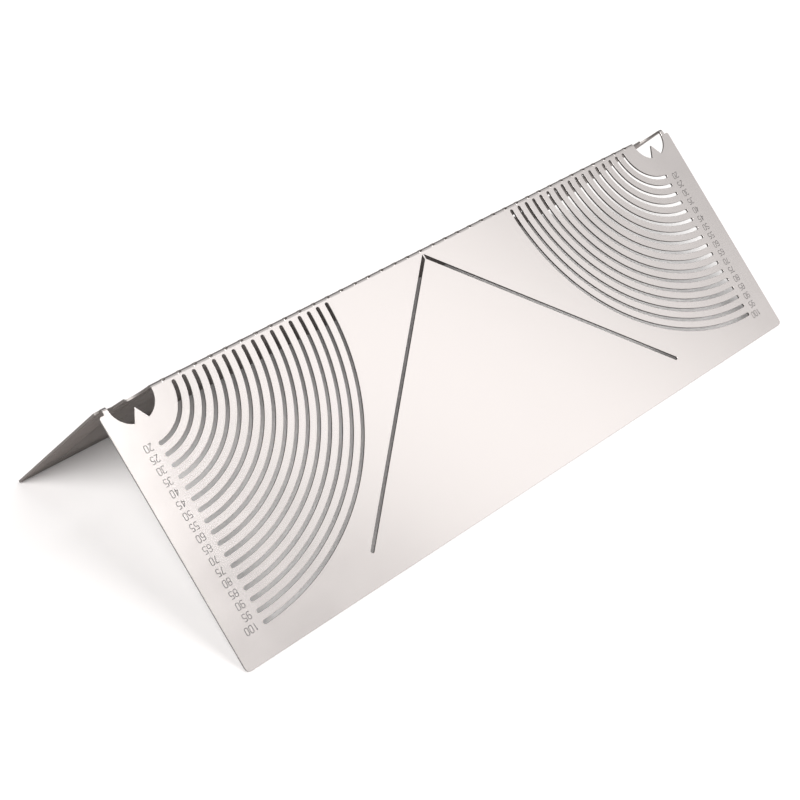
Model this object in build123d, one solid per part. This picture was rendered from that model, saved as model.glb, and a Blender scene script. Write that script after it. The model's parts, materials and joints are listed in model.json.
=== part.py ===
from build123d import *
from math import acos, asin, cos, degrees, floor, radians, sin, sqrt, tan
import os

# Pipe arc marking tool: one sheet of stainless steel, cut flat and folded along its middle.
# It stands like a tent. X runs along the fold, the front leaf faces -Y, and Z is up.
# The origin is midway between the two free edges, on the surface that the tool stands on.
# A leaf is drawn as seen from outside: x along the fold, y = 0 on the corner line that the
# two outer faces would share if the fold were sharp, and minus y down the leaf. A "row" is a
# distance down the leaf from that line. Lengths are in millimetres, angles in degrees.

# Sheet
length = 344.0  # along the fold
leaf_width = 115.5  # from the corner line to a free edge
sheet = 1.0  # thickness
corner_radius = 2.0  # at the two free corners of a leaf

# Fold
fold_angle = 91.0  # between the leaves: a right angle and a degree of spring-back
inner_bend = 0.6  # radius inside the fold
notch_length = 2.5  # relief notch at each end of the fold, measured along it
notch_past_bend = 1.3  # how far the notch reaches into the flat of each leaf
notch_corner_radius = 1.0  # where the notch meets the end of the sheet

# Short slits along the fold, cut while flat so that the sheet bends in a straight line
slit_pitch = 7.8
slit_length = 1.5
slit_width = 0.2
slit_margin = 3.0  # least length of fold between the last slit and a window

# Quarter-circle marking slots, a nest of them towards each end of a leaf
slot_width = 1.8
slot_end_flat_count = 4  # flats that draw a round end, few because there are so many ends
smallest_radius = 20.0
radius_step = 5.0
arc_count = 17
arc_centre_inset = 15.0  # from the end of the sheet to the arcs' common centre
arc_centre_row = 2.5
arc_start_row = 3.2  # row of a slot's round end beside the fold
arc_end_gap = 2.0  # from the other round end to the common centre, along the fold

# Two straight slots that run down from the middle of the fold at 45 degrees
mitre_angle = 45.0
mitre_row = 3.4  # where their centre lines meet
mitre_reach = 98.3  # from the middle to the round end, measured along the fold
mitre_web = 0.7  # strip left between them

# Round sight windows across the fold, with a pointer standing up into each from both leaves
window_radius = 10.3
window_row = 1.4
pointer_row = 5.2  # tip of the pointer
pointer_angle = 60.0  # at the tip

# Values that follow
half_fold = radians(fold_angle / 2)
half_bend = 90 - fold_angle / 2
outer_bend = inner_bend + sheet
bend_row = outer_bend / tan(half_fold)  # where a leaf stops being flat
notch_row = bend_row + notch_past_bend
fold_length = length - 2 * notch_length
corner_height = leaf_width * cos(half_fold) + sheet * sin(half_fold)
bend_centre_height = corner_height - outer_bend / sin(half_fold)
arc_centre = length / 2 - arc_centre_inset

# The plane of the front leaf's outer face, with y = 0 on the corner line
front_leaf = Plane(
    origin=(0, 0, corner_height),
    x_dir=(1, 0, 0),
    z_dir=(0, -cos(half_fold), sin(half_fold)),
)


def both_ends(sketch):
    """A shape drawn at the right-hand end of a leaf, and its mirror image at the left."""
    return sketch + mirror(sketch, Plane.YZ)


def curved_band(centre, inner_radius, outer_radius, start, sweep):
    """The area between two arcs about one centre."""
    outer = CenterArc(centre, outer_radius, start, sweep)
    inner = CenterArc(centre, inner_radius, start, sweep)
    return make_face([outer, inner, Line(outer @ 0, inner @ 0), Line(outer @ 1, inner @ 1)])


def leaf_outline():
    """The flat of a leaf: a panel with rounded corners, and a strip between the notches."""
    panel = Pos(0, -notch_row) * Rectangle(
        length, leaf_width - notch_row, align=(Align.CENTER, Align.MAX)
    )
    panel = fillet(panel.vertices().sort_by(Axis.Y)[:2], corner_radius)
    panel = fillet(panel.vertices().sort_by(Axis.Y)[-2:], notch_corner_radius)
    strip = Pos(0, -bend_row) * Rectangle(
        fold_length, notch_past_bend, align=(Align.CENTER, Align.MAX)
    )
    return panel + strip


def slot_end(heading):
    """The shape that rounds off a slot which runs in the given direction."""
    return RegularPolygon(slot_width / 2, 2 * slot_end_flat_count, rotation=heading)


def arc_slot(radius):
    """A quarter-circle slot about the origin, to the left of it and below it."""
    first = 180 + degrees(asin((arc_start_row - arc_centre_row) / radius))
    last = 180 + degrees(acos(arc_end_gap / radius))
    half_width = slot_width / 2
    band = curved_band((0, 0), radius - half_width, radius + half_width, first, last - first)
    ends = [Rot(Z=angle) * Pos(radius, 0) * slot_end(90) for angle in (first, last)]
    return band + ends


def arc_slots():
    """The nest of slots at the right-hand end."""
    radii = [smallest_radius + i * radius_step for i in range(arc_count)]
    return Pos(arc_centre, -arc_centre_row) * (Sketch() + [arc_slot(r) for r in radii])


def mitre_slot():
    """The straight slot to the right, cut off square to the fold beside the web."""
    angle = radians(mitre_angle)
    before_middle = slot_width / 2 * tan(angle)
    reach = mitre_reach / cos(angle)
    band = Pos(-before_middle, 0) * Rectangle(
        before_middle + reach, slot_width, align=(Align.MIN, Align.CENTER)
    )
    slot = Pos(0, -mitre_row) * Rot(Z=-mitre_angle) * (band + Pos(reach, 0) * slot_end(0))
    right_of_web = Pos(mitre_web / 2, 0) * Rectangle(
        length, 2 * leaf_width, align=(Align.MIN, Align.CENTER)
    )
    return slot & right_of_web


def window():
    """The round hole at the right-hand end, less the pointer that stands up into it."""
    base_row = window_row + window_radius + sheet
    half_base = (base_row - pointer_row) * tan(radians(pointer_angle / 2))
    pointer = Polygon(
        (0, -pointer_row), (-half_base, -base_row), (half_base, -base_row), align=None
    )
    return Pos(arc_centre, 0) * (Pos(0, -window_row) * Circle(window_radius) - pointer)


def slits():
    """Cutters for the slits, as many as fit evenly between the windows."""
    window_half = sqrt(window_radius**2 - window_row**2)
    last = arc_centre - window_half - slit_margin - slit_length / 2
    count = 2 * floor(last / slit_pitch) + 1
    cutter = Box(slit_length, slit_width, 2 * outer_bend)
    top = Pos(0, 0, bend_centre_height + outer_bend)
    return [top * place * cutter for place in GridLocations(slit_pitch, 0, count, 1)]


def front_half():
    """The front leaf with its half of the fold."""
    flat = leaf_outline() - both_ends(arc_slots() + mitre_slot())
    half_round = curved_band((0, bend_centre_height), inner_bend, outer_bend, 90, half_bend)
    half = extrude(front_leaf * flat, -sheet)
    half += extrude(Plane.YZ * half_round, fold_length / 2, both=True)
    half -= extrude(front_leaf * both_ends(window()), 2 * outer_bend, both=True)
    return half - slits()


half = front_half()
folded_sheet = half + mirror(half, Plane.XZ)

os.makedirs("parts", exist_ok=True)
export_step(folded_sheet, "parts/folded_sheet.step")
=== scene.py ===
# %% [markdown]
# # A pipe arc marking tool, from flat sheet to folded gauge
# The real tool is one sheet of thin stainless steel. A laser cuts its outline, its slots and its
# sight windows while it is flat, the numbers are engraved, and a press folds it along the middle.
# This lesson works in the same order: draw the cut lines, cut, engrave, fold, and then light it.

import json
from math import asin, atan2, cos, floor, pi, radians, sin, sqrt, tan

import bmesh
import bpy
import numpy as np
from mathutils import Matrix, Vector

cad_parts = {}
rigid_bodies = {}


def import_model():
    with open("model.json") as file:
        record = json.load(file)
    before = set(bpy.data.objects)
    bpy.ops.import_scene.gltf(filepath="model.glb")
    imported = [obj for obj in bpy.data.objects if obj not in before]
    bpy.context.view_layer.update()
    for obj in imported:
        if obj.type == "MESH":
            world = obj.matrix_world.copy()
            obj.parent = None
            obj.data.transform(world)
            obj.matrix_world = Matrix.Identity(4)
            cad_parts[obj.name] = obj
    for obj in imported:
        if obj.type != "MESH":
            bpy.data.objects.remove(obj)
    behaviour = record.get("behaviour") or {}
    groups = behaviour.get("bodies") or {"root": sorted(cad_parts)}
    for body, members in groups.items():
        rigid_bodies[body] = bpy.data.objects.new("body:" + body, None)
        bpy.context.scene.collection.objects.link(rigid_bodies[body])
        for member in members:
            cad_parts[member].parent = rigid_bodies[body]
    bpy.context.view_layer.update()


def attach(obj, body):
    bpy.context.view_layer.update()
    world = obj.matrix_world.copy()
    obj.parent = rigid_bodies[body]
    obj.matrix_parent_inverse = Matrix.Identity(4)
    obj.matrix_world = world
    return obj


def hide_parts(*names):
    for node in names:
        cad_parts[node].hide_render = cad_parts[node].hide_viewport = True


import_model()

# %% [markdown]
# ## Sizes
# The flat sheet is drawn in millimetres, because that is how such a drawing reads, and it becomes
# metres when it is folded. On the flat sheet, x runs along the fold and y across it, with y = 0 on
# the fold line. The front leaf lies below that line. A "row" is a distance from the line on
# which the two outer faces would meet if the fold were sharp.

# %% The sizes of the sheet and its fold
millimetre = 0.001
length = 344.0
leaf_width = 115.5
sheet = 1.0
corner_radius = 2.0
fold_angle = 91.0
inner_bend = 0.6
notch_length = 2.5
notch_past_bend = 1.3
notch_corner_radius = 1.0

half_fold = radians(fold_angle / 2)
half_bend = pi / 2 - half_fold
outer_bend = inner_bend + sheet
bend_row = outer_bend / tan(half_fold)
notch_row = bend_row + notch_past_bend
corner_height = leaf_width * cos(half_fold) + sheet * sin(half_fold)
bend_centre_height = corner_height - outer_bend / sin(half_fold)
print("a leaf is flat from row", round(bend_row, 3), "on")
print("the corner line is", round(corner_height, 2), "mm up")

# %% The sizes of the windows and the slots
arc_centre_inset = 15.0
arc_centre = length / 2 - arc_centre_inset
window_radius = 10.3
window_row = 1.4
pointer_row = 5.2
pointer_angle = 60.0
mitre_row = 3.4
mitre_reach = 98.3
mitre_web = 0.7
slot_width = 1.8
smallest_radius = 20.0
radius_step = 5.0
arc_count = 17
arc_centre_row = 2.5
arc_start_row = 3.2
arc_end_gap = 2.0
slit_pitch = 7.8
slit_length = 1.5
slit_width = 0.2
slit_margin = 3.0
edge_break = 0.06
print("the largest slot has a radius of", smallest_radius + (arc_count - 1) * radius_step, "mm")

# %% [markdown]
# ## Short calls for building node trees
# A Geometry Nodes tree or a shader is a graph. Built in code, each node needs a kind, its
# settings and what goes into its sockets. These helpers keep that to one line for each node.


# %% Helpers for node trees
def put(tree, kind, inputs=None, **settings):
    """Adds a node. An input is named or numbered, and is a value or another node's output."""
    made = tree.nodes.new(kind)
    for name, value in settings.items():
        setattr(made, name, value)
    for key, value in (inputs or {}).items():
        if isinstance(value, bpy.types.NodeSocket):
            tree.links.new(value, made.inputs[key])
        else:
            made.inputs[key].default_value = value
    return made


def calculate(tree, operation, *values):
    """Adds a Math node and returns its result."""
    return put(tree, "ShaderNodeMath", dict(enumerate(values)), operation=operation).outputs[0]


def new_group(name, kind, inputs, outputs):
    """A node group with named sockets; an input is (name, kind of socket, default)."""
    tree = bpy.data.node_groups.new(name, kind)
    for label, socket_kind, default in inputs:
        socket = tree.interface.new_socket(label, in_out="INPUT", socket_type=socket_kind)
        if default is not None:
            socket.default_value = default
    for label, socket_kind in outputs:
        tree.interface.new_socket(label, in_out="OUTPUT", socket_type=socket_kind)
    return tree, tree.nodes.new("NodeGroupInput").outputs, tree.nodes.new("NodeGroupOutput").inputs


def run_tree(tree, source, **values):
    """Runs a Geometry Nodes tree on an object and returns the result as a plain mesh."""
    modifier = source.modifiers.new(tree.name, "NODES")
    modifier.node_group = tree
    for socket in tree.interface.items_tree:
        key = socket.name.lower().replace(" ", "_")
        if socket.item_type == "SOCKET" and socket.in_out == "INPUT" and key in values:
            modifier[socket.identifier] = values[key]
    depsgraph = bpy.context.evaluated_depsgraph_get()
    result = source.evaluated_get(depsgraph)
    mesh = bpy.data.meshes.new_from_object(result, depsgraph=depsgraph)
    source.modifiers.remove(modifier)
    return mesh


# %% [markdown]
# ## The cut lines
# A laser follows lines, so the sheet starts as lines too. The outline goes round anticlockwise
# and every hole clockwise. The material is then always on the left of the line, and one sweep
# along all of them can break the edge towards the material.


# %% Draw the outline and the cut-outs that aren't repeated
def rounded(corners, steps=6):
    """Points of a closed line through corners given as (x, y, radius)."""
    points = []
    for i, (x, y, radius) in enumerate(corners):
        corner = Vector((x, y))
        before = (Vector(corners[i - 1][:2]) - corner).normalized()
        after = (Vector(corners[(i + 1) % len(corners)][:2]) - corner).normalized()
        if radius == 0:
            points.append(corner)
            continue
        half = before.angle(after) / 2
        centre = corner + (before + after).normalized() * radius / sin(half)
        start = corner + before * radius / tan(half) - centre
        end = corner + after * radius / tan(half) - centre
        turn = start.angle_signed(end)
        for step in range(steps + 1):
            angle = atan2(start.y, start.x) - turn * step / steps
            points.append(centre + radius * Vector((cos(angle), sin(angle))))
    return points


def quarter_corners():
    """The corners in the front right quarter, from the free edge to the fold."""
    half = length / 2
    return [
        (half, -leaf_width, corner_radius),
        (half, -notch_row, notch_corner_radius),
        (half - notch_length, -notch_row, 0),
    ]


def mirrored(corners, across):
    """The corners mirrored in the fold line or the middle, in the order that turns left."""
    flip = (1, -1) if across == "fold" else (-1, 1)
    return [(x * flip[0], y * flip[1], radius) for x, y, radius in reversed(corners)]


def sheet_outline():
    """The whole outline, anticlockwise."""
    right = quarter_corners() + mirrored(quarter_corners(), "fold")
    return rounded(right + mirrored(right, "middle"))


def window_outline(side, steps=18):
    """One sight window, clockwise, with its two pointers."""
    # A side of the pointer widens by slope for each millimetre past the tip, and it meets the
    # circle where (past_tip * slope)^2 + (drop + past_tip)^2 is the square of the radius.
    drop = pointer_row - window_row
    slope = tan(radians(pointer_angle / 2))
    spread = 1 + slope**2
    past_tip = (sqrt(drop**2 - spread * (drop**2 - window_radius**2)) - drop) / spread
    first = asin((bend_row - window_row) / window_radius)
    last = atan2(drop + past_tip, past_tip * slope)
    turns = [first + (last - first) * i / steps for i in range(steps + 1)]
    right = [(window_radius * cos(a), -window_row - window_radius * sin(a)) for a in turns]
    front = right + [(0, -pointer_row)] + [(-x, y) for x, y in reversed(right)]
    whole = front + [(x, -y) for x, y in reversed(front)]
    return [Vector((side * arc_centre + x, y)) for x, y in whole]


def mitre_outline(steps=8):
    """The straight slot in the front right quarter, clockwise, cut off beside the web."""
    along = Vector((1, -1)).normalized()
    aside = Vector((1, 1)).normalized()
    corner = Vector((0, -mitre_row))
    half = slot_width / 2
    end = corner + Vector((mitre_reach, -mitre_reach))
    points = []
    for side in (1, -1):
        start = corner + side * half * aside
        points.append(start + along * (mitre_web / 2 - start.x) / along.x)
    turns = [pi / 2 - pi * i / steps for i in range(steps + 1)]
    arc = [end + half * (cos(a) * along + sin(a) * aside) for a in turns]
    return [points[0]] + arc + [points[1]]


def four_ways(points):
    """A clockwise line and its mirror images in the other quarters, all clockwise."""
    found = []
    for x_side, y_side in ((1, 1), (-1, 1), (1, -1), (-1, -1)):
        line = [Vector((p.x * x_side, p.y * y_side)) for p in points]
        found.append(line if x_side * y_side > 0 else line[::-1])
    return found


def line_object(name, lines, closed=True):
    """Lines of 2D or 3D points as one curve object."""
    curve = bpy.data.curves.new(name, "CURVE")
    curve.dimensions = "3D"
    for line in lines:
        spline = curve.splines.new("POLY")
        spline.points.add(len(line) - 1)
        for point, place in zip(spline.points, line):
            point.co = (*Vector(place).to_3d(), 1)
        spline.use_cyclic_u = closed
    made = bpy.data.objects.new(name, curve)
    bpy.context.scene.collection.objects.link(made)
    return made


drawn = [sheet_outline(), window_outline(1), window_outline(-1)] + four_ways(mitre_outline())
cut_lines = line_object("cut_lines", drawn)
print(len(drawn), "lines drawn by hand, with", sum(len(line) for line in drawn), "points")

# %% [markdown]
# ## Finishes
# The sheet has four finishes: the satin outside, the darker and duller inside, the
# dark walls that the laser left, and the floor of the engraved numbers. All four are steel, so
# they share one group that works out fine grain and slow changes of tone, and each has its own
# values and its own shader. The press rubs the round of the fold rougher, and its colour there is
# darkened as painted shade for the dimmer reflection on the round. An image could hold such
# grain, but noise on the object's own coordinates needs no unwrapping and never repeats.


# %% A shared group for the grain of steel
def steel_grain_group():
    """Fine lines along the fold over a soft mottle, as colour, roughness and height."""
    wanted = [
        ("Colour", "NodeSocketColor", (0.7, 0.7, 0.7, 1)),
        ("Roughness", "NodeSocketFloat", 0.3),
        ("Line Pitch", "NodeSocketFloat", 0.2),
        ("Colour Change", "NodeSocketFloat", 0.03),
        ("Roughness Change", "NodeSocketFloat", 0.05),
    ]
    given = [
        ("Colour", "NodeSocketColor"),
        ("Roughness", "NodeSocketFloat"),
        ("Height", "NodeSocketFloat"),
    ]
    group, entry, result = new_group("steel_grain", "ShaderNodeTree", wanted, given)
    place = put(group, "ShaderNodeTexCoord").outputs["Object"]
    lines_per_metre = calculate(group, "DIVIDE", 1 / millimetre, entry["Line Pitch"])
    stretch = put(group, "ShaderNodeVectorMath", {0: place, 1: (0.02, 1, 1)}, operation="MULTIPLY")
    lines = put(
        group,
        "ShaderNodeTexNoise",
        {"Vector": stretch.outputs[0], "Scale": lines_per_metre, "Detail": 2.0},
    )
    mottle = put(group, "ShaderNodeTexNoise", {"Vector": place, "Scale": 45.0, "Detail": 4.0})
    both = calculate(group, "ADD", lines.outputs[0], mottle.outputs[0])
    around_zero = calculate(group, "SUBTRACT", both, 1.0)
    brighter = calculate(group, "MULTIPLY_ADD", around_zero, entry["Colour Change"], 1.0)
    colour = put(
        group, "ShaderNodeVectorMath", {0: entry["Colour"], "Scale": brighter}, operation="SCALE"
    )
    rougher = calculate(
        group, "MULTIPLY_ADD", around_zero, entry["Roughness Change"], entry["Roughness"]
    )
    group.links.new(colour.outputs[0], result["Colour"])
    group.links.new(rougher, result["Roughness"])
    group.links.new(lines.outputs[0], result["Height"])
    return group


steel_grain = steel_grain_group()
sockets = steel_grain.interface.items_tree
print("the grain group puts out", [s.name for s in sockets if s.in_out == "OUTPUT"])


# %% The four finishes
def steel(
    name,
    colour,
    roughness,
    line_pitch,
    colour_change,
    roughness_change,
    bump,
    tint_at_edge=(1, 1, 1),
):
    """A steel finish: its values go to the shared grain, and the grain to its own shader."""
    material = bpy.data.materials.new(name)
    material.use_nodes = True
    tree = material.node_tree
    shader = tree.nodes["Principled BSDF"]
    shader.inputs["Metallic"].default_value = 1.0
    shader.inputs["Specular Tint"].default_value = (*tint_at_edge, 1)
    values = {
        "Colour": (*colour, 1),
        "Roughness": roughness,
        "Line Pitch": line_pitch,
        "Colour Change": colour_change,
        "Roughness Change": roughness_change,
    }
    grain = tree.nodes.new("ShaderNodeGroup")
    grain.node_tree = steel_grain
    for label, value in values.items():
        grain.inputs[label].default_value = value
    relief = put(
        tree,
        "ShaderNodeBump",
        {"Height": grain.outputs["Height"], "Strength": bump, "Distance": 0.01 * millimetre},
    )
    tree.links.new(grain.outputs["Colour"], shader.inputs["Base Color"])
    tree.links.new(grain.outputs["Roughness"], shader.inputs["Roughness"])
    tree.links.new(relief.outputs[0], shader.inputs["Normal"])
    return material


def rough_fold_and_paint_shade(material, first, last, painted_shade_scale, rougher):
    """Roughens what the press rubbed, darkens it as painted shade, from y = first to y = last."""
    tree = material.node_tree
    shader = tree.nodes["Principled BSDF"]
    place = put(tree, "ShaderNodeTexCoord").outputs["Object"]
    y = put(tree, "ShaderNodeSeparateXYZ", {0: place}).outputs[1]
    from_middle = calculate(tree, "ABSOLUTE", calculate(tree, "SUBTRACT", y, (first + last) / 2))
    half_width = (last - first) / 2
    rubbed_and_painted_shade = put(
        tree,
        "ShaderNodeMapRange",
        {
            "Value": from_middle,
            "From Min": half_width * 0.9,
            "From Max": half_width * 1.1,
            "To Min": 1.0,
            "To Max": 0.0,
        },
        interpolation_type="SMOOTHSTEP",
    )
    colour = shader.inputs["Base Color"].links[0].from_socket
    roughness = shader.inputs["Roughness"].links[0].from_socket
    # The colour in the band is scaled down: painted shade for the dimmer reflection on the round.
    kept = calculate(tree, "MULTIPLY_ADD", rubbed_and_painted_shade.outputs[0], painted_shade_scale - 1, 1.0)
    dark = put(tree, "ShaderNodeVectorMath", {0: colour, "Scale": kept}, operation="SCALE")
    rough = calculate(tree, "MULTIPLY_ADD", rubbed_and_painted_shade.outputs[0], rougher, roughness)
    tree.links.new(dark.outputs[0], shader.inputs["Base Color"])
    tree.links.new(rough, shader.inputs["Roughness"])


satin_steel = steel(
    "satin_steel",
    (0.50, 0.468, 0.455),
    roughness=0.25,
    line_pitch=0.12,
    colour_change=0.05,
    roughness_change=0.06,
    bump=0.10,
)
# A darker, duller finish for the inside, with its reflection dimmed towards grazing angles.
mill_steel = steel(
    "mill_steel",
    (0.34, 0.316, 0.305),
    roughness=0.28,
    line_pitch=0.2,
    colour_change=0.15,
    roughness_change=0.15,
    bump=0.15,
    tint_at_edge=(0.42, 0.39, 0.375),
)
laser_cut_steel = steel(
    "laser_cut_steel",
    (0.17, 0.158, 0.15),
    roughness=0.5,
    line_pitch=0.15,
    colour_change=0.5,
    roughness_change=0.3,
    bump=0.6,
)
engraved_steel = steel(
    "engraved_steel",
    (0.12, 0.113, 0.11),
    roughness=0.6,
    line_pitch=0.10,
    colour_change=0.6,
    roughness_change=0.2,
    bump=0.6,
)
# The round of the fold gets a rougher finish, and its colour is darkened to 0.3 as painted shade.
rough_fold_and_paint_shade(satin_steel, -0.35 * millimetre, 1.3 * millimetre, painted_shade_scale=0.3, rougher=0.3)
finishes = [satin_steel, mill_steel, laser_cut_steel, engraved_steel]
print("finishes:", [finish.name for finish in finishes])

# %% [markdown]
# ## Cutting the sheet
# Each of the 68 curved slots is the same idea at another radius, and the slits repeat at one
# pitch, so Geometry Nodes make both from their rules. The template is one slot outline in "strip"
# terms: x says how far along the slot a point lies, from 0 to 1, and y and z place it around a
# round end. The tree copies the template once for each slot and bends each copy to its own radius.
# It then sweeps the section of a cut edge along all the lines and fills in the two faces. Cutting
# by Booleans would do as well, but it would leave no broken edges.


# %% The template of a curved slot, clockwise
def slot_template_line(side_steps=44, end_steps=8):
    """Inner side, far end, outer side and near end, as (along, past the end, across)."""
    shares = [i / side_steps for i in range(side_steps + 1)]
    turns = [pi * i / end_steps for i in range(1, end_steps)]
    inner = [(t, 0, -1) for t in shares]
    far_end = [(1, sin(a), -cos(a)) for a in turns]
    outer = [(t, 0, 1) for t in reversed(shares)]
    near_end = [(0, -sin(a), cos(a)) for a in turns]
    return inner + far_end + outer + near_end


slot_template = line_object("slot_template", [slot_template_line()])
print("a slot has", len(slot_template_line()), "points")


# %% The tree that cuts the sheet
def bent_to_radius(tree, entry, template):
    """One copy of the template for each slot of the front right nest, bent to its radius."""
    copies = put(
        tree,
        "GeometryNodeDuplicateElements",
        {"Geometry": template, "Amount": entry["Slot Count"]},
        domain="SPLINE",
    )
    steps = calculate(tree, "MULTIPLY", copies.outputs["Duplicate Index"], entry["Radius Step"])
    radius = calculate(tree, "ADD", steps, entry["Smallest Radius"])
    rise = calculate(tree, "SUBTRACT", entry["Start Row"], entry["Arc Centre Row"])
    first = calculate(tree, "ARCSINE", calculate(tree, "DIVIDE", rise, radius))
    last = calculate(tree, "ARCCOSINE", calculate(tree, "DIVIDE", entry["End Gap"], radius))
    position = put(tree, "GeometryNodeInputPosition").outputs[0]
    spot = put(tree, "ShaderNodeSeparateXYZ", {0: position})
    swing = calculate(
        tree, "MULTIPLY_ADD", spot.outputs[0], calculate(tree, "SUBTRACT", last, first), first
    )
    half_width = calculate(tree, "MULTIPLY", entry["Slot Width"], 0.5)
    reach = calculate(tree, "MULTIPLY_ADD", spot.outputs[2], half_width, radius)
    past_end = calculate(tree, "MULTIPLY", spot.outputs[1], half_width)
    cosine = calculate(tree, "COSINE", swing)
    sine = calculate(tree, "SINE", swing)
    out = calculate(tree, "MULTIPLY", reach, cosine)
    left = calculate(tree, "SUBTRACT", out, calculate(tree, "MULTIPLY", past_end, sine))
    drop = calculate(tree, "MULTIPLY", reach, sine)
    down = calculate(tree, "ADD", drop, calculate(tree, "MULTIPLY", past_end, cosine))
    x = calculate(tree, "SUBTRACT", entry["Arc Centre X"], left)
    row = calculate(tree, "ADD", entry["Arc Centre Row"], down)
    place = put(tree, "ShaderNodeCombineXYZ", {0: x, 1: calculate(tree, "MULTIPLY", row, -1.0)})
    moved = put(
        tree,
        "GeometryNodeSetPosition",
        {"Geometry": copies.outputs[0], "Position": place.outputs[0]},
    )
    return moved.outputs[0]


def joined(tree, *parts):
    """All the parts as one geometry."""
    node = tree.nodes.new("GeometryNodeJoinGeometry")
    for part in reversed(parts):
        tree.links.new(part, node.inputs[0])
    return node.outputs[0]


def with_mirror_image(tree, lines, scale):
    """Lines and their mirror image, which is reversed so that it still runs clockwise."""
    flipped = put(tree, "GeometryNodeTransform", {"Geometry": lines, "Scale": scale})
    reverse = put(tree, "GeometryNodeReverseCurve", {"Curve": flipped.outputs[0]})
    return joined(tree, lines, reverse.outputs[0])


def slit_lines(tree, entry):
    """The slits along the fold, at their pitch."""
    last = calculate(tree, "MULTIPLY", calculate(tree, "SUBTRACT", entry["Slit Count"], 1.0), 0.5)
    last_x = calculate(tree, "MULTIPLY", last, entry["Slit Pitch"])
    first_x = calculate(tree, "MULTIPLY", last_x, -1.0)
    row = put(
        tree,
        "GeometryNodeMeshLine",
        {
            "Count": entry["Slit Count"],
            "Start Location": put(tree, "ShaderNodeCombineXYZ", {0: first_x}).outputs[0],
            "Offset": put(tree, "ShaderNodeCombineXYZ", {0: entry["Slit Pitch"]}).outputs[0],
        },
    )
    slit = put(
        tree,
        "GeometryNodeCurvePrimitiveQuadrilateral",
        {"Width": entry["Slit Length"], "Height": entry["Slit Width"]},
    )
    placed = put(
        tree,
        "GeometryNodeInstanceOnPoints",
        {"Points": row.outputs[0], "Instance": slit.outputs[0]},
    )
    lines = put(tree, "GeometryNodeRealizeInstances", {0: placed.outputs[0]}).outputs[0]
    return put(tree, "GeometryNodeReverseCurve", {"Curve": lines}).outputs[0]


def wall_profile(tree, entry):
    """The section of a cut edge, four points: a broken edge, the wall, a broken edge."""
    inset = entry["Edge Break"]
    line = put(tree, "GeometryNodeMeshLine", {"Count": 4})
    index = put(tree, "GeometryNodeInputIndex").outputs[0]
    from_middle = calculate(tree, "ABSOLUTE", calculate(tree, "SUBTRACT", index, 1.5))
    outermost = calculate(tree, "COMPARE", from_middle, 1.5, 0.1)
    aside = calculate(tree, "MULTIPLY", outermost, inset)
    in_lower_half = calculate(tree, "GREATER_THAN", index, 1.5)
    in_upper_half = calculate(tree, "SUBTRACT", 1.0, in_lower_half)
    upper = calculate(tree, "MULTIPLY", calculate(tree, "SUBTRACT", 1.0, outermost), inset)
    above_break = calculate(tree, "SUBTRACT", entry["Sheet Thickness"], inset)
    lower = calculate(tree, "ADD", above_break, aside)
    upper_part = calculate(tree, "MULTIPLY", in_upper_half, upper)
    depth = calculate(tree, "MULTIPLY_ADD", in_lower_half, lower, upper_part)
    outward = calculate(tree, "MULTIPLY", aside, -1.0)
    place = put(tree, "ShaderNodeCombineXYZ", {0: outward, 1: depth}).outputs[0]
    shaped = put(
        tree, "GeometryNodeSetPosition", {"Geometry": line.outputs[0], "Position": place}
    )
    return put(tree, "GeometryNodeMeshToCurve", {"Mesh": shaped.outputs[0]}).outputs[0]


def faces_of_sheet(tree, entry, walls):
    """The upper and the lower face, filled in between the upper rims of the walls."""
    spot = put(tree, "GeometryNodeInputPosition").outputs[0]
    height = put(tree, "ShaderNodeSeparateXYZ", {0: spot}).outputs[2]
    just_below_top = calculate(tree, "MULTIPLY", entry["Edge Break"], -0.1)
    on_top = calculate(tree, "GREATER_THAN", height, just_below_top)
    rim = put(tree, "GeometryNodeMeshToCurve", {"Mesh": walls, "Selection": on_top}).outputs[0]
    top = put(tree, "GeometryNodeFillCurve", {"Curve": rim}, mode="TRIANGLES").outputs[0]
    drop = calculate(tree, "MULTIPLY", entry["Sheet Thickness"], -1.0)
    down = put(tree, "ShaderNodeCombineXYZ", {2: drop}).outputs[0]
    lowered = put(tree, "GeometryNodeTransform", {"Geometry": top, "Translation": down})
    bottom = put(tree, "GeometryNodeFlipFaces", {"Mesh": lowered.outputs[0]})
    return top, bottom.outputs[0]


def finished_by_side(tree, entry, sheet_faces):
    """The outside, the inside and the walls, each with its finish, told by where they face."""
    facing = put(tree, "GeometryNodeInputNormal").outputs[0]
    up = put(tree, "ShaderNodeSeparateXYZ", {0: facing}).outputs[2]
    for label, chosen in (
        ("Outside Finish", calculate(tree, "GREATER_THAN", up, 0.1)),
        ("Inside Finish", calculate(tree, "LESS_THAN", up, -0.1)),
        ("Wall Finish", calculate(tree, "COMPARE", up, 0.0, 0.1)),
    ):
        sheet_faces = put(
            tree,
            "GeometryNodeSetMaterial",
            {"Geometry": sheet_faces, "Selection": chosen, "Material": entry[label]},
        ).outputs[0]
    return sheet_faces


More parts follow.
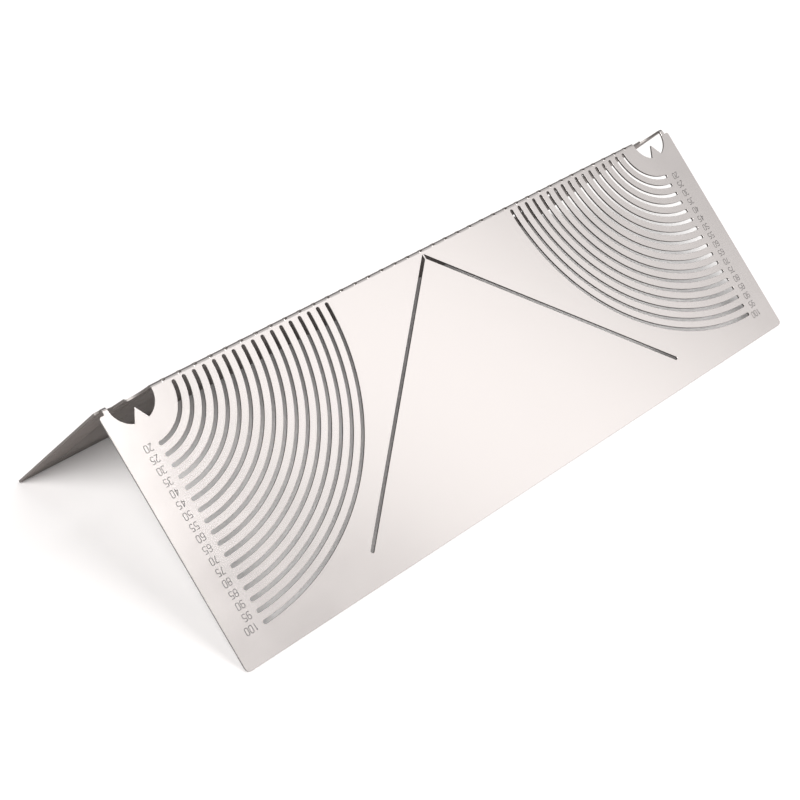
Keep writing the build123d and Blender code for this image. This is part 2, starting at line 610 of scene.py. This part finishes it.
def cut_sheet_tree():
    """Lines in, a flat sheet with its thickness and every cut in it out."""
    wanted = [("Geometry", "NodeSocketGeometry", None), ("Slot Template", "NodeSocketObject", None)]
    wanted += [(label, "NodeSocketInt", None) for label in ("Slot Count", "Slit Count")]
    wanted += [
        (label, "NodeSocketFloat", None)
        for label in (
            "Sheet Thickness",
            "Edge Break",
            "Slot Width",
            "Smallest Radius",
            "Radius Step",
            "Arc Centre X",
            "Arc Centre Row",
            "Start Row",
            "End Gap",
            "Slit Pitch",
            "Slit Length",
            "Slit Width",
        )
    ]
    wanted += [
        (label, "NodeSocketMaterial", None)
        for label in ("Outside Finish", "Inside Finish", "Wall Finish")
    ]
    tree, entry, result = new_group(
        "cut_sheet", "GeometryNodeTree", wanted, [("Geometry", "NodeSocketGeometry")]
    )
    template = put(tree, "GeometryNodeObjectInfo", {"Object": entry["Slot Template"]})
    nest = bent_to_radius(tree, entry, template.outputs["Geometry"])
    leaf = with_mirror_image(tree, nest, (-1, 1, 1))
    slots = with_mirror_image(tree, leaf, (1, -1, 1))
    lines = joined(tree, entry["Geometry"], slots, slit_lines(tree, entry))
    upright = put(tree, "GeometryNodeSetCurveNormal", {"Curve": lines}, mode="Z_UP").outputs[0]
    walls = put(
        tree,
        "GeometryNodeCurveToMesh",
        {"Curve": upright, "Profile Curve": wall_profile(tree, entry)},
    ).outputs[0]
    top, bottom = faces_of_sheet(tree, entry, walls)
    whole = put(
        tree,
        "GeometryNodeMergeByDistance",
        {"Geometry": joined(tree, top, bottom, walls), "Distance": 0.002},
    )
    real = put(tree, "GeometryNodeRealizeInstances", {0: whole.outputs[0]}).outputs[0]
    tree.links.new(finished_by_side(tree, entry, real), result[0])
    return tree


window_half = sqrt(window_radius**2 - window_row**2)
last_slit = arc_centre - window_half - slit_margin - slit_length / 2
slit_count = 2 * floor(last_slit / slit_pitch) + 1
flat_mesh = run_tree(
    cut_sheet_tree(),
    cut_lines,
    slot_template=slot_template,
    slot_count=arc_count,
    slit_count=slit_count,
    sheet_thickness=sheet,
    edge_break=edge_break,
    slot_width=slot_width,
    smallest_radius=smallest_radius,
    radius_step=radius_step,
    arc_centre_x=arc_centre,
    arc_centre_row=arc_centre_row,
    start_row=arc_start_row,
    end_gap=arc_end_gap,
    slit_pitch=slit_pitch,
    slit_length=slit_length,
    slit_width=slit_width,
    outside_finish=satin_steel,
    inside_finish=mill_steel,
    wall_finish=laser_cut_steel,
)
print("the flat sheet has", len(flat_mesh.polygons), "faces,", slit_count, "slits among them")

# %% [markdown]
# ## Engraved numbers
# Each slot has its radius engraved beside its end, read from the fold side. An engraver draws a
# figure with a small tool along a few strokes, so each figure here is strokes too. A stroke is
# swept into a bar, a union makes the bars of one figure a single clean cutter, and a second tree
# writes every number of a nest from the rule that gives the radii. A font's outlines would do,
# but they have far more points, and these strokes show the engraver's square figures.

# %% The sizes of the numbers
figure_width = 1.4
figure_height = 3.0
figure_advance = 2.05
stroke_width = 0.3
engraved_depth = 0.08
left_numbers = {"start_x": -158.9, "past_radius": 2.0}
right_numbers = {"start_x": 162.8, "past_radius": 4.2}

# Strokes run in a box of width 1 and height 1, with their corners cut off.
crown = [(0.25, 1), (0.75, 1), (1, 0.88)]
base = [(1, 0.12), (0.75, 0), (0.25, 0)]
ring = crown + base + [(0, 0.12), (0, 0.88), (0.25, 1)]
waist_of_three = [(1, 0.62), (0.75, 0.52), (1, 0.4)]
shoulder_of_five = [(0, 0.6), (0.75, 0.6), (1, 0.48)]
back_of_six = [(1, 0.9), (0.75, 1), (0.25, 1), (0, 0.88), (0, 0.12)]
loop_of_six = [(1, 0.44), (0.75, 0.56), (0, 0.56)]
loop_of_nine = [(1, 0.44), (0.25, 0.44), (0, 0.56), (0, 0.88)]
strokes = {
    0: [ring],
    1: [[(0.2, 0.8), (0.55, 1)], [(0.5, 1), (0.5, 0)]],
    2: [[(0, 0.88)] + crown + [(1, 0.66), (0.05, 0)], [(0, 0), (1, 0)]],
    3: [[(0, 0.88)] + crown + waist_of_three + base + [(0, 0.12)]],
    4: [[(0.75, 0), (0.75, 1)], [(0.75, 1), (0, 0.3)], [(0, 0.3), (1, 0.3)]],
    5: [
        [(1, 1), (0.05, 1)],
        [(0.05, 1), (0.05, 0.6)],
        shoulder_of_five + base + [(0, 0.12)],
    ],
    6: [back_of_six + base[::-1] + loop_of_six],
    7: [[(0, 1), (1, 1)], [(1, 1), (0.4, 0)]],
    8: [ring, [(0, 0.53), (1, 0.53)]],
    9: [loop_of_nine + crown + base + [(0, 0.1)]],
}
print("a figure is", figure_height + stroke_width, "mm tall with its stroke")


# %% A cutter for each figure
def figure_cutter_tree():
    """Strokes in, one closed cutter out."""
    wanted = [
        ("Geometry", "NodeSocketGeometry", None),
        ("Stroke Width", "NodeSocketFloat", None),
        ("Stroke Depth", "NodeSocketFloat", None),
    ]
    tree, entry, result = new_group(
        "figure_cutter", "GeometryNodeTree", wanted, [("Geometry", "NodeSocketGeometry")]
    )
    upright = put(tree, "GeometryNodeSetCurveNormal", {"Curve": entry["Geometry"]}, mode="Z_UP")
    height = calculate(tree, "MULTIPLY", entry["Stroke Depth"], 2.0)
    section = put(
        tree,
        "GeometryNodeCurvePrimitiveQuadrilateral",
        {"Width": entry["Stroke Width"], "Height": height},
    )
    bars = put(
        tree,
        "GeometryNodeCurveToMesh",
        {"Curve": upright.outputs[0], "Profile Curve": section.outputs[0], "Fill Caps": True},
    )
    clean = put(
        tree,
        "GeometryNodeMeshBoolean",
        {"Self Intersection": True},
        operation="UNION",
        solver="EXACT",
    )
    tree.links.new(bars.outputs[0], clean.inputs["Mesh 2"])
    tree.links.new(clean.outputs[0], result[0])
    return tree


figure_set = bpy.data.collections.new("figures")
bpy.context.scene.collection.children.link(figure_set)
cutter_tree = figure_cutter_tree()
for figure, lines in strokes.items():
    sized = [[(x * figure_width, y * figure_height) for x, y in line] for line in lines]
    drawn_figure = line_object("strokes", sized, closed=False)
    mesh = run_tree(
        cutter_tree, drawn_figure, stroke_width=stroke_width, stroke_depth=engraved_depth
    )
    bpy.data.objects.remove(drawn_figure)
    figure_set.objects.link(bpy.data.objects.new(f"figure_{figure}", mesh))


# %% The tree that writes the numbers and engraves them
def written_numbers(tree, entry, figures, start_x, past_radius):
    """Every radius of one nest in figures, one number beside each slot."""
    most_digits = 3.0
    points = calculate(tree, "MULTIPLY", entry["Number Count"], most_digits)
    spots = put(tree, "GeometryNodeMeshLine", {"Count": points})
    index = put(tree, "GeometryNodeInputIndex").outputs[0]
    which = calculate(tree, "FLOOR", calculate(tree, "DIVIDE", index, most_digits))
    digit = calculate(tree, "MODULO", index, most_digits)
    number = calculate(tree, "MULTIPLY_ADD", which, entry["Number Step"], entry["First Number"])
    # A number from 100 up has three digits and the others have two.
    digits = calculate(tree, "ADD", calculate(tree, "GREATER_THAN", number, 99.5), 2.0)
    power = calculate(tree, "SUBTRACT", calculate(tree, "SUBTRACT", digits, digit), 1.0)
    unit = calculate(tree, "POWER", 10.0, power)
    # The hundredth keeps a rounding error from turning a digit into the one below it.
    just_above = calculate(tree, "ADD", number, 0.01)
    shifted = calculate(tree, "FLOOR", calculate(tree, "DIVIDE", just_above, unit))
    value = calculate(tree, "MODULO", shifted, 10.0)
    used = calculate(tree, "GREATER_THAN", power, -0.5)
    before = calculate(tree, "MULTIPLY", digit, entry["Figure Advance"])
    x = calculate(tree, "SUBTRACT", start_x, before)
    half_height = calculate(tree, "MULTIPLY", entry["Figure Height"], 0.5)
    row = calculate(tree, "SUBTRACT", calculate(tree, "ADD", number, past_radius), half_height)
    place = put(tree, "ShaderNodeCombineXYZ", {0: x, 1: calculate(tree, "MULTIPLY", row, -1.0)})
    laid_out = put(
        tree,
        "GeometryNodeSetPosition",
        {"Geometry": spots.outputs[0], "Position": place.outputs[0]},
    )
    written = put(
        tree,
        "GeometryNodeInstanceOnPoints",
        {
            "Points": laid_out.outputs[0],
            "Selection": used,
            "Instance": figures,
            "Instance Index": value,
            "Rotation": (0, 0, pi),
            "Pick Instance": True,
        },
    )
    return put(tree, "GeometryNodeRealizeInstances", {0: written.outputs[0]}).outputs[0]


def engraving_tree():
    """The flat sheet in, the sheet with its numbers out, on both leaves."""
    wanted = [("Geometry", "NodeSocketGeometry", None), ("Figures", "NodeSocketCollection", None)]
    wanted += [("Number Count", "NodeSocketInt", None)]
    wanted += [
        (label, "NodeSocketFloat", None)
        for label in (
            "First Number",
            "Number Step",
            "Figure Advance",
            "Figure Height",
            "Left Start X",
            "Left Past Radius",
            "Right Start X",
            "Right Past Radius",
        )
    ]
    wanted += [("Floor Finish", "NodeSocketMaterial", None)]
    tree, entry, result = new_group(
        "engraving", "GeometryNodeTree", wanted, [("Geometry", "NodeSocketGeometry")]
    )
    figures = put(
        tree,
        "GeometryNodeCollectionInfo",
        {"Collection": entry["Figures"], "Separate Children": True},
    ).outputs[0]
    left, right = (
        written_numbers(
            tree, entry, figures, entry[f"{side} Start X"], entry[f"{side} Past Radius"]
        )
        for side in ("Left", "Right")
    )
    front = joined(tree, left, right)
    half_turn = {"Geometry": front, "Rotation": (0, 0, pi)}
    rear = put(tree, "GeometryNodeTransform", half_turn).outputs[0]
    cut = put(
        tree,
        "GeometryNodeMeshBoolean",
        {"Mesh 1": entry["Geometry"]},
        operation="DIFFERENCE",
        solver="MANIFOLD",
    )
    numbers = put(
        tree,
        "GeometryNodeSetMaterial",
        {"Geometry": joined(tree, front, rear), "Material": entry["Floor Finish"]},
    )
    tree.links.new(numbers.outputs[0], cut.inputs["Mesh 2"])
    tree.links.new(cut.outputs[0], result[0])
    return tree


flat_sheet = bpy.data.objects.new("flat_sheet", flat_mesh)
bpy.context.scene.collection.objects.link(flat_sheet)
engraved_mesh = run_tree(
    engraving_tree(),
    flat_sheet,
    figures=figure_set,
    number_count=arc_count,
    first_number=smallest_radius,
    number_step=radius_step,
    figure_advance=figure_advance,
    figure_height=figure_height,
    left_start_x=left_numbers["start_x"],
    left_past_radius=left_numbers["past_radius"],
    right_start_x=right_numbers["start_x"],
    right_past_radius=right_numbers["past_radius"],
    floor_finish=engraved_steel,
)
for helper in [flat_sheet, cut_lines, slot_template, *figure_set.objects]:
    bpy.data.objects.remove(helper)
print("the engraved sheet has", len(engraved_mesh.polygons), "faces")

# %% [markdown]
# ## Folding
# The press bends a narrow strip along the middle, and the rest stays flat. A modifier could bend
# the whole sheet, but it would move the flats as well. Here the strip is first cut into narrow
# facets, and one function then says where each point of the flat sheet goes. Beside a slit there
# is no metal to bend across the line, so each side of a slit stays straight: it stands a little
# proud of the round as a lip, with a dark gap between the two.


# %% Facets across the bend, and beside each slit
lip_fade = 0.4


def facet_rows(steps=5, margin=0.15):
    """Distances from the middle at which the bend is divided, on both sides."""
    inside = [bend_row * i / steps for i in range(steps + 1)]
    past_bend = bend_row + margin
    return sorted({side * y for side in (-1, 1) for y in [*inside, past_bend]})


def facet_columns(fade_steps=2):
    """Places along the fold at which the bend is divided, at the slits and just past them."""
    reaches = [slit_length / 2 + lip_fade * i / fade_steps for i in range(fade_steps + 1)]
    both_sides = [side * reach for side in (-1, 1) for reach in reaches]
    return [centre + offset for centre in slit_centres for offset in both_sides]


def divided(edit, geometry, place, normal):
    """Geometry with its faces divided along a plane."""
    cut = bmesh.ops.bisect_plane(edit, geom=geometry, plane_co=place, plane_no=normal, dist=1e-4)
    return cut["geom"]


slit_centres = [(i - (slit_count - 1) / 2) * slit_pitch for i in range(slit_count)]
edit = bmesh.new()
edit.from_mesh(engraved_mesh)
everything = [*edit.verts, *edit.edges, *edit.faces]
for y in facet_rows():
    everything = divided(edit, everything, (0, y, 0), (0, 1, 0))
in_bend = [f for f in edit.faces if all(abs(v.co.y) < bend_row + 1e-3 for v in f.verts)]
bend = list({part for f in in_bend for part in (f, *f.edges, *f.verts)})
for x in facet_columns():
    bend = divided(edit, bend, (x, 0, 0), (1, 0, 0))
steel_sheet = bpy.data.objects.new("steel_sheet", bpy.data.meshes.new("steel_sheet"))
edit.to_mesh(steel_sheet.data)
edit.free()
bpy.context.scene.collection.objects.link(steel_sheet)
print("the bend is divided at", [round(y, 2) for y in facet_rows()])
print("and at", len(facet_columns()), "columns beside the slits")


# %% Where each point of the flat sheet goes
lip_row_outside = 1.13
lip_row_inside = 1.25
lip_lift = 0.12
print("a lip stands", lip_lift, "mm proud of the leaf at its tip")


def on_leaf(side, row, depth):
    """Points on a flat leaf: side is -1 for the front leaf and 1 for the rear."""
    y = side * (sin(half_fold) * row - cos(half_fold) * depth)
    z = corner_height - cos(half_fold) * row - sin(half_fold) * depth
    return np.stack([y, z], axis=1)


def on_bend(y, depth):
    """Points on the round of the fold."""
    turn = np.clip(y / bend_row, -1, 1) * half_bend
    radius = outer_bend - depth
    return np.stack([radius * np.sin(turn), bend_centre_height + radius * np.cos(turn)], axis=1)


def on_lips(y, depth):
    """Points on the two straight lips of a slit, and on the gap between them."""
    half_gap = slit_width / 2
    lip_row = lip_row_outside + (lip_row_inside - lip_row_outside) * depth / sheet
    share = (np.abs(y).clip(half_gap, bend_row) - half_gap) / (bend_row - half_gap)
    row = lip_row + share * (bend_row - lip_row)
    depth = depth - lip_lift * (1 - share) ** 2
    rear = (np.clip(y / half_gap, -1, 1)[:, None] + 1) / 2
    return on_leaf(-1, row, depth) * (1 - rear) + on_leaf(1, row, depth) * rear


def folded(points):
    """Points of the flat sheet, in millimetres, moved to where the press puts them."""
    x, y, depth = points[:, 0], points[:, 1], -points[:, 2]
    last_slit_index = (slit_count - 1) / 2
    nearest = np.round(x / slit_pitch).clip(-last_slit_index, last_slit_index)
    past_slit = np.abs(x - nearest * slit_pitch) - slit_length / 2
    lip = np.clip(1 - past_slit / lip_fade, 0, 1)[:, None]
    lip = lip * lip * (3 - 2 * lip)
    bend = on_bend(y, depth) * (1 - lip) + on_lips(y, depth) * lip
    leaf = on_leaf(np.sign(y), np.abs(y), depth)
    across = np.where(np.abs(y)[:, None] < bend_row, bend, leaf)
    return np.column_stack([x, across])


flat_points = np.zeros(len(steel_sheet.data.vertices) * 3)
steel_sheet.data.vertices.foreach_get("co", flat_points)
folded_points = folded(flat_points.reshape(-1, 3)) * millimetre
steel_sheet.data.vertices.foreach_set("co", folded_points.ravel())
print("folded, the sheet is", np.round(np.ptp(folded_points, axis=0) * 1000, 2), "mm")

# %% Finishes, shading and its place on the model
given = [engraved_mesh.materials[i] for i in range(len(engraved_mesh.materials))]
for face in steel_sheet.data.polygons:
    face.material_index = finishes.index(given[face.material_index])
for finish in finishes:
    steel_sheet.data.materials.append(finish)
steel_sheet.data.shade_smooth()
steel_sheet.data.set_sharp_from_angle(angle=radians(30))
steel_sheet.data.update()
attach(steel_sheet, "root")
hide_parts("folded_sheet")
print("the finished sheet has", len(steel_sheet.data.polygons), "faces")

# %% [markdown]
# ## Camera
# The photograph looks down on the tool from its front left. The lens, the place and the small
# roll were found by matching the ends of the slots and the edges of the sheet. Slots of known
# radius make that a sounder guess than the outline alone would.

# %% Place the camera
camera_place = Vector((-0.39799, -0.42277, 0.41569))
camera_target = Vector((-0.02097, -0.00673, 0.01339))
camera_roll = radians(1.84)
camera_data = bpy.data.cameras.new("camera")
camera_data.sensor_width = 36.0
camera_data.lens = 67.5
camera = bpy.data.objects.new("camera", camera_data)
forward = (camera_target - camera_place).normalized()
level = forward.to_track_quat("-Z", "Y").to_matrix()
camera.matrix_world = Matrix.Translation(camera_place) @ (
    Matrix.Rotation(camera_roll, 3, forward) @ level
).to_4x4()
bpy.context.scene.collection.objects.link(camera)
bpy.context.scene.camera = camera
print("the camera stands", round((camera_target - camera_place).length, 3), "m away")

# %% [markdown]
# ## Floor and light
# Bare steel shows what is around it, so its look is mostly the studio's. The world is white
# where a reflection or the camera meets it. A tall strip lamp to the front right is what the
# front leaf mirrors along its bright middle, and a small lamp high in front fills in towards the
# left. A soft sun stands almost behind the camera: it lights the floor evenly, and its shadow
# falls behind the tool and under it, which gives the dark inside. The floor adds a little light
# of its own for the camera and for reflections only. It adds less under the tool than further
# out, so that it is white to its far edge and still keeps the shadow.


# %% The floor
def seen_by_camera(tree):
    """Is 1 on the camera's own rays and on what they meet by reflection or through glass."""
    path = tree.nodes.new("ShaderNodeLightPath").outputs
    seen = calculate(tree, "MAXIMUM", path["Is Camera Ray"], path["Is Glossy Ray"])
    return calculate(tree, "MAXIMUM", seen, path["Is Transmission Ray"])


def white_floor(size=12.0, colour=(0.90, 0.875, 0.865), near_lift=0.09, far_lift=0.2):
    """A pale floor that looks white, with less light of its own in the tool's shade."""
    mesh = bpy.data.meshes.new("floor")
    half = size / 2
    corners = [(-half, -half, 0), (half, -half, 0), (half, half, 0), (-half, half, 0)]
    mesh.from_pydata(corners, [], [(0, 1, 2, 3)])
    made = bpy.data.objects.new("floor", mesh)
    bpy.context.scene.collection.objects.link(made)
    material = bpy.data.materials.new("floor_white")
    material.use_nodes = True
    tree = material.node_tree
    shader = tree.nodes["Principled BSDF"]
    shader.inputs["Base Color"].default_value = (*colour, 1)
    shader.inputs["Roughness"].default_value = 0.9
    shader.inputs["Emission Color"].default_value = (1, 1, 1, 1)
    place = put(tree, "ShaderNodeTexCoord").outputs["Object"]
    distance = put(tree, "ShaderNodeVectorMath", {0: place}, operation="LENGTH").outputs["Value"]
    lift = put(
        tree,
        "ShaderNodeMapRange",
        {
            "Value": distance,
            "From Min": 0.2,
            "From Max": 0.8,
            "To Min": near_lift,
            "To Max": far_lift,
        },
        interpolation_type="SMOOTHSTEP",
    )
    strength = calculate(tree, "MULTIPLY", seen_by_camera(tree), lift.outputs[0])
    tree.links.new(strength, shader.inputs["Emission Strength"])
    mesh.materials.append(material)
    return made


floor_plane = white_floor()
print("the floor is", round(floor_plane.dimensions.x, 2), "m wide")


# %% The room and its lamps
def white_room(level):
    """A white world for the camera and for reflections, and a plain light for the rest."""
    world = bpy.data.worlds.new("room")
    bpy.context.scene.world = world
    world.use_nodes = True
    tree = world.node_tree
    background = tree.nodes["Background"]
    background.inputs["Color"].default_value = (1, 1, 1, 1)
    strength = calculate(tree, "MULTIPLY_ADD", seen_by_camera(tree), 1 - level, level)
    tree.links.new(strength, background.inputs["Strength"])


def facing_object(lamp, azimuth, elevation, distance=1.6, roll=0.0):
    """Places a lamp so that it faces the object. Azimuth 0 is in front and 90 to the right."""
    made = bpy.data.objects.new(lamp.name, lamp)
    turn, rise = radians(azimuth), radians(elevation)
    place = distance * Vector((sin(turn) * cos(rise), -cos(turn) * cos(rise), sin(rise)))
    level = (-place).to_track_quat("-Z", "Y").to_matrix()
    tilt = Matrix.Rotation(radians(roll), 3, place)
    made.matrix_world = Matrix.Translation(place) @ (tilt @ level).to_4x4()
    bpy.context.scene.collection.objects.link(made)


def soft_lamp(name, azimuth, elevation, size, watts, roll=0.0):
    """A rectangular lamp, width and height in metres."""
    lamp = bpy.data.lights.new(name, "AREA")
    lamp.shape = "RECTANGLE"
    lamp.size, lamp.size_y = size
    lamp.energy = watts
    facing_object(lamp, azimuth, elevation, roll=roll)


def soft_sun(name, azimuth, elevation, strength, spread):
    """Even light from one side, softened over a spread in degrees."""
    lamp = bpy.data.lights.new(name, "SUN")
    lamp.angle = radians(spread)
    lamp.energy = strength
    facing_object(lamp, azimuth, elevation)


bpy.context.scene.view_settings.view_transform = "Standard"
white_room(0.15)
soft_lamp("strip_lamp", azimuth=43.5, elevation=33, size=(0.49, 1.10), watts=1.92, roll=-4)
soft_lamp("fill_lamp", azimuth=2, elevation=55, size=(0.5, 0.5), watts=8.1)
soft_sun("key_lamp", azimuth=-46, elevation=46, strength=3.1, spread=26)
